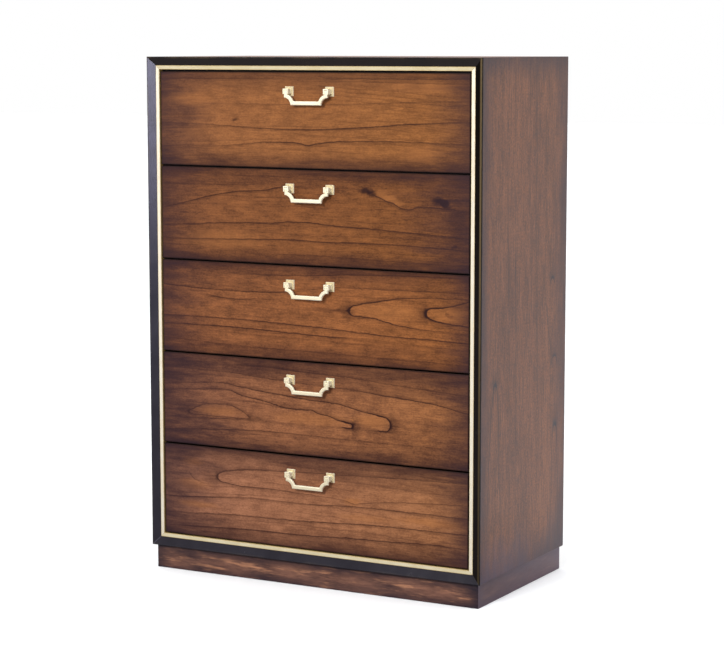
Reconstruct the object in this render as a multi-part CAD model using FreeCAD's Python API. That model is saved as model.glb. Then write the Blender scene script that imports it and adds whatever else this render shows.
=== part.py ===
import FreeCAD, Part
import math
import os

# A tall chest of five equal drawers in one mitred case on a recessed plinth.
# A black bevelled moulding and a brass angle frame the drawers, and each drawer
# has a bail pull on two square rosettes. All sizes are in millimetres.
# +X is to the right, +Y is to the back, +Z is up. The origin is on the floor,
# under the middle of the whole chest with its pulls.

V = FreeCAD.Vector

# ---------------------------------------------------------------- driving sizes
# Case
case_width = 914.4
case_depth = 484.5
case_height = 1221.0
panel_thickness = 29.0
back_thickness = 6.0
back_rebate_width = 10.0
back_fit = 0.3

# Black moulding round the front
moulding_width = 21.2
moulding_thickness = 6.0
moulding_fall = 10.0
moulding_arris_radius = 1.6

# Brass angle inside the moulding
brass_thickness = 2.0
brass_return_depth = 14.0
brass_stand = 0.5
brass_edge_radius = 0.6

# Plinth
plinth_height = 59.0
plinth_thickness = 19.0
plinth_front_inset = 13.5
plinth_side_inset = 8.0
plinth_back_inset = 3.0
corner_block_leg = 45.0
corner_block_lift = 4.0

# Drawer fronts
drawer_count = 5
front_thickness = 19.0
front_setback = 1.5
front_edge_radius = 1.0
side_reveal = 3.5
top_reveal = 5.0
bottom_reveal = 3.0
drawer_gap = 3.5

# Web frames between the drawers
rail_lap = 8.5
rail_depth = 60.0
back_rail_depth = 40.0
runner_width = 55.0
web_dado_depth = 6.0
stub_tenon_length = 8.0
stub_tenon_thickness = 7.0
front_stop_gap = 0.5
guide_width = 22.0
guide_height = 9.0
guide_nose = 6.0

# Drawer boxes
runner_clearance = 0.3
box_headroom = 20.0
box_side_thickness = 12.7
box_back_drop = 10.0
box_rear_gap = 13.0
side_top_radius = 3.0
bottom_thickness = 6.0
bottom_groove_depth = 6.0
bottom_groove_height = 12.0
bottom_fit = 0.2
dovetail_lap = 6.0
dovetail_fit = 0.1
dovetail_slope = 7.0
front_tail_count = 5
back_tail_count = 4
pin_width = 9.0
channel_width = 46.0
channel_lift = 0.2
channel_side_fit = 0.4
channel_top_fit = 0.9

# Pulls
pull_spacing = 110.0
pull_drop = 45.0
pull_projection = 21.5
rosette_size = 22.6
rosette_thickness = 3.2
rosette_rim = 4.0
rosette_recess = 1.2
rosette_recess_slope = 1.2
rosette_edge_chamfer = 0.8
post_size = 8.5
post_flare = 1.5
knuckle_width = 14.0
knuckle_height = 13.0
knuckle_web = 1.6
knuckle_edge_chamfer = 0.5
fork_fit = 0.15
fork_back_fit = 0.3
fork_top_fit = 0.5
pivot_radius = 1.2
pivot_ear_fit = 0.02
pivot_eye_fit = 0.06
bail_depth = 6.5
bail_leg_width = 8.0
bail_cove_radius = 17.5
bail_cove_thickness = 8.4
bail_bar_height = 8.8
bail_throat_fit = 0.2
bail_front_chamfer = 1.5
bail_back_chamfer = 0.7

# ---------------------------------------------------------------- derived sizes
half_width = case_width / 2
case_bottom = plinth_height
case_top = plinth_height + case_height
inner_half_width = half_width - panel_thickness

# Depth stations, from the front arris of the case at zero
brass_face = moulding_fall - brass_stand
front_face = brass_face + front_setback
front_back = front_face + front_thickness
rail_front = front_back + front_stop_gap
back_face = case_depth - back_thickness
box_rear = back_face - box_rear_gap
pull_front = front_face - pull_projection
front_arris_y = -(case_depth + pull_front) / 2

# Drawer fronts, from the opening inside the brass
brass_width = panel_thickness + brass_thickness - moulding_width
border = moulding_width + brass_width
front_half_width = half_width - border - side_reveal
opening_height = case_height - 2 * border
spare_height = top_reveal + bottom_reveal + (drawer_count - 1) * drawer_gap
front_height = (opening_height - spare_height) / drawer_count
drawer_pitch = front_height + drawer_gap
lowest_front = case_bottom + border + bottom_reveal

# One drawer, in its own heights: zero at the lower edge of its front
box_bottom = rail_lap + runner_clearance
box_top = front_height - rail_lap - box_headroom
sheet_under = box_bottom + bottom_groove_height
sheet_top = sheet_under + bottom_thickness
box_back_top = box_top - box_back_drop
box_inner_half = front_half_width - box_side_thickness

# The pull, in heights from its pivots
pivot_height = front_height - pull_drop
pivot_depth = pull_front + bail_depth / 2
leg_outer = pull_spacing / 2 + bail_leg_width / 2
leg_inner = pull_spacing / 2 - bail_leg_width / 2
cove_back_radius = bail_cove_radius + bail_cove_thickness
throat_rise = math.sqrt(cove_back_radius**2 - bail_leg_width**2)
knuckle_sweep = math.hypot(knuckle_height / 2, bail_depth / 2)
bar_bottom = -(knuckle_sweep + bail_throat_fit + throat_rise)


# ---------------------------------------------------------------- helpers
def block(x0, x1, y0, y1, z0, z1):
    return Part.makeBox(x1 - x0, y1 - y0, z1 - z0, V(x0, y0, z0))


def outline(corners):
    """A closed wire through (point, radius) corners, each rounded by its radius."""
    count = len(corners)
    starts = []
    ends = []
    arcs = []
    for i in range(count):
        point, radius = corners[i]
        before = (corners[i - 1][0] - point).normalize()
        after = (corners[(i + 1) % count][0] - point).normalize()
        if radius <= 0:
            starts.append(point)
            ends.append(point)
            arcs.append(None)
            continue
        half_turn = before.getAngle(after) / 2
        tangent = radius / math.tan(half_turn)
        middle = (before + after).normalize()
        centre = point + middle * (radius / math.sin(half_turn))
        starts.append(point + before * tangent)
        ends.append(point + after * tangent)
        arcs.append(centre - middle * radius)
    edges = []
    for i in range(count):
        if arcs[i] is not None:
            edges.append(Part.Arc(starts[i], arcs[i], ends[i]).toShape())
        following = starts[(i + 1) % count]
        if (following - ends[i]).Length > 1e-6:
            edges.append(Part.LineSegment(ends[i], following).toShape())
    return Part.Wire(edges)


def prism(corners, run):
    return Part.Face(outline(corners)).extrude(run)


def mitred_bar(section, length):
    """A bar along X with its outer edge at z = 0, cut at 45 degrees at both ends.

    section holds (inward, depth, radius) corners.
    """
    reach = max(inward for inward, depth, radius in section)
    near = min(depth for inward, depth, radius in section)
    far = max(depth for inward, depth, radius in section)
    start = -length / 2
    corners = [(V(start, depth, -inward), radius) for inward, depth, radius in section]
    bar = prism(corners, V(length, 0, 0))
    keep = [
        (V(start, near, 0), 0),
        (V(-start, near, 0), 0),
        (V(-start - reach, near, -reach), 0),
        (V(start + reach, near, -reach), 0),
    ]
    return bar.common(prism(keep, V(0, far - near, 0)))


def mitred_frame(section, half_across, low, high):
    """Four mitred bars round a rectangle in the XZ plane, by side."""
    across = mitred_bar(section, 2 * half_across)
    upright = mitred_bar(section, high - low)
    middle = (low + high) / 2
    turns = {
        "top": (across, 0, V(0, 0, high)),
        "bottom": (across, 180, V(0, 0, low)),
        "left": (upright, -90, V(-half_across, 0, middle)),
        "right": (upright, 90, V(half_across, 0, middle)),
    }
    members = {}
    for side, (bar, angle, place) in turns.items():
        member = bar.copy()
        member.rotate(V(0, 0, 0), V(0, 1, 0), angle)
        member.translate(place)
        members[side] = member
    return members


def mirrored(shape):
    """The shape and its mirror image across the middle of the chest."""
    return [shape, shape.mirror(V(0, 0, 0), V(1, 0, 0))]


def edges_in_plane(shape, depth):
    """Edges that lie wholly in the plane y = depth."""
    found = []
    for edge in shape.Edges:
        box = edge.BoundBox
        if abs(box.YMin - depth) < 1e-4 and abs(box.YMax - depth) < 1e-4:
            found.append(edge)
    return found


# ---------------------------------------------------------------- case
def case_panels():
    tongue = brass_face + brass_thickness
    section = [
        (0, moulding_thickness, 0),
        (moulding_width, moulding_fall + moulding_thickness, 0),
        (moulding_width, tongue, 0),
        (panel_thickness, tongue, 0),
        (panel_thickness, back_face, 0),
        (panel_thickness - back_rebate_width, back_face, 0),
        (panel_thickness - back_rebate_width, case_depth, 0),
        (0, case_depth, 0),
    ]
    panels = mitred_frame(section, half_width, case_bottom, case_top)
    for level in range(1, drawer_count):
        low, high = web_heights(level)
        dado_end = inner_half_width + web_dado_depth
        dado = block(-dado_end, dado_end, rail_front, back_face, low, high)
        for side in ("left", "right"):
            panels[side] = panels[side].cut(dado)
    return panels


def frame_mouldings():
    section = [
        (0, 0, moulding_arris_radius),
        (moulding_width, moulding_fall, 0),
        (moulding_width, moulding_fall + moulding_thickness, 0),
        (0, moulding_thickness, 0),
    ]
    return mitred_frame(section, half_width, case_bottom, case_top)


def brass_trim():
    leg = brass_width - brass_thickness
    section = [
        (0, brass_face, brass_edge_radius),
        (brass_width, brass_face, brass_edge_radius),
        (brass_width, brass_face + brass_return_depth, 0),
        (leg, brass_face + brass_return_depth, 0),
        (leg, brass_face + brass_thickness, 0),
        (0, brass_face + brass_thickness, 0),
    ]
    half_across = half_width - moulding_width
    low = case_bottom + moulding_width
    high = case_top - moulding_width
    return mitred_frame(section, half_across, low, high)


def back_panel():
    inset = panel_thickness - back_rebate_width + back_fit
    reach = half_width - inset
    return block(-reach, reach, back_face, case_depth, case_bottom + inset, case_top - inset)


# ---------------------------------------------------------------- web frames
def front_low(level):
    """Height of the lower edge of a drawer front; level 0 is the lowest drawer."""
    return lowest_front + level * drawer_pitch


def web_heights(level):
    """Lower and upper face of the web frame that carries a drawer."""
    high = front_low(level) + rail_lap
    if level == 0:
        return case_bottom + panel_thickness, high
    return front_low(level) - drawer_gap - rail_lap, high


def web_frame(level):
    """Front rail, back rail and two runners, stub-tenoned into the rails."""
    low, high = web_heights(level)
    reach = inner_half_width
    if level > 0:
        reach += web_dado_depth
    front_end = rail_front + rail_depth
    back_start = back_face - back_rail_depth
    tenon_low = (low + high - stub_tenon_thickness) / 2
    tenon_high = tenon_low + stub_tenon_thickness
    groove_front = front_end - stub_tenon_length
    groove_back = back_start + stub_tenon_length
    groove = block(-reach, reach, groove_front, groove_back, tenon_low, tenon_high)
    front_rail = block(-reach, reach, rail_front, front_end, low, high).cut(groove)
    back_rail = block(-reach, reach, back_start, back_face, low, high).cut(groove)
    shoulder = block(reach - runner_width, reach, front_end, back_start, low, high)
    tongue = block(reach - runner_width, reach, groove_front, groove_back, tenon_low, tenon_high)
    runner = shoulder.fuse(tongue).removeSplitter()
    return [front_rail, back_rail] + mirrored(runner)


def web_frames():
    members = []
    for level in range(drawer_count):
        members += web_frame(level)
    top_low = front_low(drawer_count) - drawer_gap - rail_lap
    top_high = case_top - panel_thickness
    front_end = rail_front + rail_depth
    members.append(block(-inner_half_width, inner_half_width, rail_front, front_end, top_low, top_high))
    return Part.makeCompound(members)


def centre_guides():
    """Guide strips on the web frames, with a tapered nose at the front."""
    half = guide_width / 2
    start = rail_front
    corners = [
        (V(-half + guide_nose / 2, start, 0), 0),
        (V(half - guide_nose / 2, start, 0), 0),
        (V(half, start + guide_nose, 0), 0),
        (V(half, back_face, 0), 0),
        (V(-half, back_face, 0), 0),
        (V(-half, start + guide_nose, 0), 0),
    ]
    strip = prism(corners, V(0, 0, guide_height))
    guides = []
    for level in range(drawer_count):
        guide = strip.copy()
        guide.translate(V(0, 0, front_low(level) + rail_lap))
        guides.append(guide)
    return Part.makeCompound(guides)


# ---------------------------------------------------------------- plinth
def plinth_boards():
    """Four mitred boards, made as an upright frame and laid down on the floor."""
    section = [
        (0, 0, 0),
        (plinth_thickness, 0, 0),
        (plinth_thickness, plinth_height, 0),
        (0, plinth_height, 0),
    ]
    boards = mitred_frame(
        section,
        half_width - plinth_side_inset,
        -(case_depth - plinth_back_inset),
        -plinth_front_inset,
    )
    for board in boards.values():
        board.rotate(V(0, 0, 0), V(1, 0, 0), 90)
    return {
        "front": boards["top"],
        "back": boards["bottom"],
        "left": boards["left"],
        "right": boards["right"],
    }


def plinth_corner_blocks():
    inner_x = half_width - plinth_side_inset - plinth_thickness
    inner_front = plinth_front_inset + plinth_thickness
    inner_back = case_depth - plinth_back_inset - plinth_thickness
    rise = V(0, 0, plinth_height - corner_block_lift)
    blocks = []
    for corner_y, way in ((inner_front, 1), (inner_back, -1)):
        corners = [
            (V(inner_x, corner_y, corner_block_lift), 0),
            (V(inner_x - corner_block_leg, corner_y, corner_block_lift), 0),
            (V(inner_x, corner_y + way * corner_block_leg, corner_block_lift), 0),
        ]
        blocks += mirrored(prism(corners, rise))
    return Part.makeCompound(blocks)


# ---------------------------------------------------------------- drawer box
def tail(shoulder_y, end_y, centre_z, neck, grow):
    """One dovetail on the right side board, from its shoulder out to its wide end."""
    length = abs(end_y - shoulder_y)
    half_neck = neck / 2 + grow
    half_end = neck / 2 + length / dovetail_slope + grow
    end_y += math.copysign(grow, end_y - shoulder_y)
    x0 = box_inner_half - grow
    corners = [
        (V(x0, shoulder_y, centre_z - half_neck), 0),
        (V(x0, end_y, centre_z - half_end), 0),
        (V(x0, end_y, centre_z + half_end), 0),
        (V(x0, shoulder_y, centre_z + half_neck), 0),
    ]
    return prism(corners, V(box_side_thickness + 2 * grow, 0, 0))


def tails(shoulder_y, end_y, low, high, count, grow=0.0):
    pitch = (high - low) / count
    neck = pitch - pin_width
    made = []
    for i in range(count):
        made.append(tail(shoulder_y, end_y, low + pitch * (i + 0.5), neck, grow))
    return made[0].multiFuse(made[1:])


def front_tails(grow=0.0):
    end = front_face + dovetail_lap
    return tails(front_back, end, box_bottom, box_top, front_tail_count, grow)


def back_tails(grow=0.0):
    shoulder = box_rear - box_side_thickness
    return tails(shoulder, box_rear, sheet_top, box_back_top, back_tail_count, grow)


def bottom_groove(grow=0.0):
    """The space that the drawer's bottom sheet fills, from the front to the rear."""
    reach = box_inner_half + bottom_groove_depth
    start = front_back - bottom_groove_depth
    return block(
        -reach - grow,
        reach + grow,
        start - grow,
        box_rear,
        sheet_under,
        sheet_top,
    )


def drawer_side():
    """The right side board, with a rounded top edge and tails at both ends."""
    corners = [
        (V(box_inner_half, front_back, box_bottom), 0),
        (V(front_half_width, front_back, box_bottom), 0),
        (V(front_half_width, front_back, box_top), side_top_radius),
        (V(box_inner_half, front_back, box_top), side_top_radius),
    ]
    board = prism(corners, V(0, box_rear - front_back, 0))
    shoulder = box_rear - box_side_thickness
    rear_waste = block(
        box_inner_half, front_half_width, shoulder, box_rear, sheet_top, box_back_top
    ).cut(back_tails())
    board = board.cut(rear_waste).fuse(front_tails())
    return board.cut(bottom_groove(bottom_fit)).removeSplitter()


def drawer_front():
    body = block(-front_half_width, front_half_width, front_face, front_back, 0, front_height)
    body = body.makeFillet(front_edge_radius, edges_in_plane(body, front_face))
    sockets = mirrored(front_tails(dovetail_fit))
    reach = box_inner_half + bottom_groove_depth + bottom_fit
    start = front_back - bottom_groove_depth - bottom_fit
    groove = block(-reach, reach, start, front_back, sheet_under, sheet_top)
    return body.cut(Part.makeCompound(sockets)).cut(groove)


def drawer_back():
    shoulder = box_rear - box_side_thickness
    body = block(
        -front_half_width, front_half_width, shoulder, box_rear, sheet_top, box_back_top
    )
    return body.cut(Part.makeCompound(mirrored(back_tails(dovetail_fit))))


def drawer_guide():
    """A grooved strip under the bottom sheet that straddles the centre guide."""
    half = channel_width / 2
    slot = guide_width / 2 + channel_side_fit
    low = box_bottom + channel_lift
    roof = rail_lap + guide_height + channel_top_fit
    corners = [
        (V(-half, front_back, low), 0),
        (V(-slot, front_back, low), 0),
        (V(-slot, front_back, roof), 0),
        (V(slot, front_back, roof), 0),
        (V(slot, front_back, low), 0),
        (V(half, front_back, low), 0),
        (V(half, front_back, sheet_under), 0),
        (V(-half, front_back, sheet_under), 0),
    ]
    return prism(corners, V(0, box_rear - front_back, 0))


# ---------------------------------------------------------------- pull
def square_taper(front, front_size, back, back_size):
    """A four-sided taper about the pull's axis, between two square ends."""
    near = front_size / 2
    far = back_size / 2
    return Part.makeWedge(-near, front, -near, -far, -far, near, back, near, far, far)


def pull_post():
    """Square rosette with a sunk field, a flared post and a forked knuckle."""
    plate_front = front_face - rosette_thickness
    half = rosette_size / 2
    plate = block(-half, half, plate_front, front_face, -half, half)
    plate = plate.makeChamfer(rosette_edge_chamfer, edges_in_plane(plate, plate_front))
    field_depth = plate_front + rosette_recess
    field = rosette_size - 2 * rosette_rim
    field_floor = field - 2 * rosette_recess_slope
    sunk = square_taper(plate_front, field, field_depth, field_floor)
    knuckle_back = pull_front + bail_depth + fork_back_fit + knuckle_web
    knuckle = block(
        -knuckle_width / 2,
        knuckle_width / 2,
        pull_front,
        knuckle_back,
        -knuckle_height / 2,
        knuckle_height / 2,
    )
    knuckle = knuckle.makeChamfer(knuckle_edge_chamfer, edges_in_plane(knuckle, pull_front))
    post = square_taper(knuckle_back, post_size, field_depth, post_size + 2 * post_flare)
    fork = block(
        -bail_leg_width / 2 - fork_fit,
        bail_leg_width / 2 + fork_fit,
        pull_front,
        pull_front + bail_depth + fork_back_fit,
        -knuckle_height / 2,
        bail_depth / 2 + fork_top_fit,
    )
    pivot_hole = Part.makeCylinder(
        pivot_radius + pivot_ear_fit,
        knuckle_width,
        V(-knuckle_width / 2, pivot_depth, 0),
        V(1, 0, 0),
    )
    body = plate.cut(sunk).fuse(post).fuse(knuckle)
    return body.cut(fork).cut(pivot_hole).removeSplitter()


def pivot_pin():
    length = knuckle_width - 2 * knuckle_edge_chamfer
    start = V(-length / 2, pivot_depth, 0)
    return Part.makeCylinder(pivot_radius, length, start, V(1, 0, 0))


def pull_posts():
    pieces = []
    for shape in (pull_post(), pivot_pin()):
        shape.translate(V(pull_spacing / 2, 0, pivot_height))
        pieces += mirrored(shape)
    return Part.makeCompound(pieces)


def bail():
    """The bail hangs from its two eyes; concave coves lead from legs to bar."""
    bar_top = bar_bottom + bail_bar_height
    diagonal = math.sqrt(0.5)
    inner_reach = math.sqrt(cove_back_radius**2 - bail_bar_height**2)

    def at(x, z):
        return V(x, pull_front, z)

    def half_outline(way):
        """Edges of one half, from the middle of the bar's foot round to its top."""
        foot = at(0, bar_bottom)
        foot_end = at(way * (leg_outer - bail_cove_radius), bar_bottom)
        cove_mid = at(
            way * (leg_outer - bail_cove_radius * diagonal),
            bar_bottom + bail_cove_radius * diagonal,
        )
        cove_high = at(way * leg_outer, bar_bottom + bail_cove_radius)
        eye_outer = at(way * leg_outer, 0)
        eye_inner = at(way * leg_inner, 0)
        throat_high = at(way * leg_inner, bar_bottom + throat_rise)
        throat_mid = at(
            way * (leg_outer - cove_back_radius * diagonal),
            bar_bottom + cove_back_radius * diagonal,
        )
        throat_low = at(way * (leg_outer - inner_reach), bar_top)
        head = at(0, bar_top)
        return [
            Part.LineSegment(foot, foot_end).toShape(),
            Part.Arc(foot_end, cove_mid, cove_high).toShape(),
            Part.LineSegment(cove_high, eye_outer).toShape(),
            Part.LineSegment(eye_outer, eye_inner).toShape(),
            Part.LineSegment(eye_inner, throat_high).toShape(),
            Part.Arc(throat_high, throat_mid, throat_low).toShape(),
            Part.LineSegment(throat_low, head).toShape(),
        ]

    edges = half_outline(1) + half_outline(-1)
    wire = Part.Wire(Part.sortEdges(edges)[0])
    body = Part.Face(wire).extrude(V(0, bail_depth, 0)).removeSplitter()
    body = body.makeChamfer(bail_front_chamfer, edges_in_plane(body, pull_front))
    body = body.makeChamfer(bail_back_chamfer, edges_in_plane(body, pull_front + bail_depth))
    for way in (1, -1):
        middle = way * pull_spacing / 2
        start = V(middle - bail_leg_width / 2, pivot_depth, 0)
        eye = Part.makeCylinder(bail_depth / 2, bail_leg_width, start, V(1, 0, 0))
        hole = Part.makeCylinder(
            pivot_radius + pivot_eye_fit, bail_leg_width, start, V(1, 0, 0)
        )
        body = body.fuse(eye).cut(hole)
    body = body.removeSplitter()
    body.translate(V(0, 0, pivot_height))
    return body


# ---------------------------------------------------------------- assembly
def drawer_pieces():
    """One drawer's pieces, with zero height at the lower edge of its front."""
    right = drawer_side()
    left = mirrored(right)[1]
    return {
        "front": drawer_front(),
        "left_side": left,
        "right_side": right,
        "back": drawer_back(),
        "bottom": bottom_groove(),
        "guide": drawer_guide(),
        "pull_posts": pull_posts(),
        "bail": bail(),
    }


def chest():
    nodes = {}
    panels = case_panels()
    nodes["left_side_panel"] = panels["left"]
    nodes["right_side_panel"] = panels["right"]
    nodes["top_panel"] = panels["top"]
    nodes["bottom_panel"] = panels["bottom"]
    nodes["back_panel"] = back_panel()
    for side, member in frame_mouldings().items():
        nodes["frame_moulding_" + side] = member
    for side, member in brass_trim().items():
        nodes["brass_trim_" + side] = member
    nodes["web_frames"] = web_frames()
    nodes["centre_guides"] = centre_guides()
    for side, board in plinth_boards().items():
        nodes["plinth_" + side] = board
    nodes["plinth_corner_blocks"] = plinth_corner_blocks()
    pieces = drawer_pieces()
    for level in range(drawer_count):
        number = drawer_count - level
        for name, piece in pieces.items():
            copy = piece.copy()
            copy.translate(V(0, 0, front_low(level)))
            nodes[f"drawer_{number}_{name}"] = copy
    return nodes


os.makedirs("parts", exist_ok=True)
for name, shape in chest().items():
    shape.translate(V(0, front_arris_y, 0))
    shape.exportStep(f"parts/{name}.step")
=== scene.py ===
import math

import bmesh
import bpy
from mathutils import Matrix, Vector


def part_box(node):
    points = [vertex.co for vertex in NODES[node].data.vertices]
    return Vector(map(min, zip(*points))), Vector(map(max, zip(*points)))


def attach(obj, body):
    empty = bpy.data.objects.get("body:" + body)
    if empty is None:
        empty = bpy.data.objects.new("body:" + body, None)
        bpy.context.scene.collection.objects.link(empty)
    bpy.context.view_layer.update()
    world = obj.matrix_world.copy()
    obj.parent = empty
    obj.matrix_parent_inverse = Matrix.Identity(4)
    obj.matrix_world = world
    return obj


# A tall five-drawer chest in burnished walnut veneer, with a black bevelled
# moulding, a brass frame and brass bail pulls. Lengths are in metres, in the CAD
# frame, or in millimetres where a comment says so. Colours of woods and metals are
# display values from 0 to 255, which srgb() makes linear; tints are linear.

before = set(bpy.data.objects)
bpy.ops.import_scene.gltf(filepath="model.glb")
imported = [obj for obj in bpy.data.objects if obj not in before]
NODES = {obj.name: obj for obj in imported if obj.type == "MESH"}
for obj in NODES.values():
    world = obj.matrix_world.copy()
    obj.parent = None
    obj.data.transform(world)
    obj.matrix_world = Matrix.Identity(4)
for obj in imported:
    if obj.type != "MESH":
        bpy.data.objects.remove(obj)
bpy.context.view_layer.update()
MM = 0.001
X, Y, Z = range(3)
DRAWERS = range(1, 6)

# Sizes on the chest, and how deep its veneer and edge rounding are
TRIM_FACE = 9.8 * MM
SANDED_EDGE = 0.8 * MM
FRONT_RAIL = 60 * MM
BACK_RAIL = 40 * MM
PLATE_REACH = 4 * MM
POST_FROM_MIDDLE = 55 * MM
PLY = 1.5 * MM
VENEER_SKIN = 1 * MM
NAIL_INSET = 5 * MM
NAIL_PITCH = 130 * MM

# Woods and brasses as (light, dark)
POPLAR = ((196, 164, 116), (168, 134, 90))
MAPLE = ((214, 178, 130), (190, 150, 102))
BACK_SHEET = ((128, 92, 62), (102, 72, 50))
DRAWER_SHEET = ((208, 172, 124), (184, 146, 98))
# The trim's three brasses are lit and shaded copies of one brass, painted light: brightest on the
# uprights, darker across the bottom, darkest along the top
ACROSS_BRASS_SHADED = ((240, 226, 188), (230, 213, 170))
UPPER_BRASS_SHADED = ((220, 205, 166), (210, 192, 148))
UPRIGHT_BRASS_LIT = ((255, 246, 222), (252, 236, 204))
CAST_BRASS = ((255, 245, 216), (252, 236, 198))
# Lacquers as (dark, light) where warm and where cool: a painted reflection tint, warm at the top
# and cool violet near the floor. SHADED_LACQUER is a painted shade copy for the right moulding
LACQUER = (((22, 15, 13), (34, 25, 22)), ((28, 25, 31), (41, 37, 45)))
SHADED_LACQUER = (((8, 5, 3), (14, 9, 6)), ((20, 15, 14), (29, 24, 24)))
# Plinth members as (dark, light, edge, gleam). The sides' greyer, lighter tones are a painted
# sheen; the edge tone along the top is partly painted shadow
PLINTH_TONES = {
    "plinth_long": ((78, 49, 41), (168, 116, 90), (30, 22, 34), (226, 158, 114)),
    "plinth_short": ((104, 82, 83), (126, 98, 96), (102, 86, 97), (136, 107, 100)),
}
# Where in the noise each case board's veneer lies
VENEER_SEEDS = {"left": 5.0, "right": 0.0, "top": 9.0, "bottom": 13.0}

# Camera: eye point, turns in degrees, focal length and sensor width in millimetres
EYE = (2.6576, -4.7997, 1.3069)
YAW, PITCH, ROLL = 28.821, 7.290, -0.021
LENS, SENSOR_WIDTH = 110.61, 36.0

# Lamps: name, place, aim, width, height, watts, tint, seen in reflections only
LAMP_WHITE = (0.97, 0.985, 1.0)
LAMPS = [
    ("key", (0.25, -4.3, 2.35), (0.0, 0.0, 0.8), 1.1, 0.8, 150.0, LAMP_WHITE, False),
    ("card", (1.05, -4.35, 1.0), (0.0, 0.0, 0.9), 0.8, 0.8, 17.0, (0.66, 0.65, 1.0), False),
    ("sheen", (1.05, -4.35, 1.3), (0.0, 0.0, 1.0), 0.8, 0.8, 21.0, (0.72, 0.71, 1.0), True),
    ("side", (5.6, -1.0, 1.7), (0.4, 0.0, 0.7), 1.6, 1.6, 40.0, LAMP_WHITE, False),
    ("fill", (-3.3, -4.0, 1.0), (-0.3, -0.2, 0.8), 1.3, 2.0, 12.0, (0.9, 0.92, 1.0), False),
]
# The studio's brightness: dim before the chest, bright behind it and overhead
FRONT_LEVEL = 0.10
BACK_LEVEL = 0.34
ZENITH_LEVEL = 1.0
STUDIO_STRENGTH = 2.8
# Half of the square floor's side
FLOOR_HALF = 30.0

# Pull screws in millimetres: outline as (radius, rise), and the crossed slot
SCREW_OUTLINE = [(2.2, 2.5), (3.6, 2.0), (4.4, 1.1), (4.6, 0.4), (4.6, 0.0)]
SCREW_TURNS = 24
SLOT_HALF, SLOT_REACH, SLOT_DEPTH, SLOT_FLOOR = 0.55, 3.0, 1.3, 1.2


# ------------------------------------------------------------------ node graphs
def srgb(red, green, blue):
    """A colour given in display values from 0 to 255."""
    linear = []
    for value in (red, green, blue):
        value /= 255
        linear.append(value / 12.92 if value <= 0.04045 else ((value + 0.055) / 1.055) ** 2.4)
    return (*linear, 1.0)


def dimmed(colour, share):
    """A display colour at a share of its brightness."""
    return srgb(*[share * value for value in colour])


def stretch_along(axis, along, across):
    """Stretch of noise: along on one axis, or on none if it is None, and across on the rest."""
    return tuple(along if index == axis else across for index in range(3))


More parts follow.
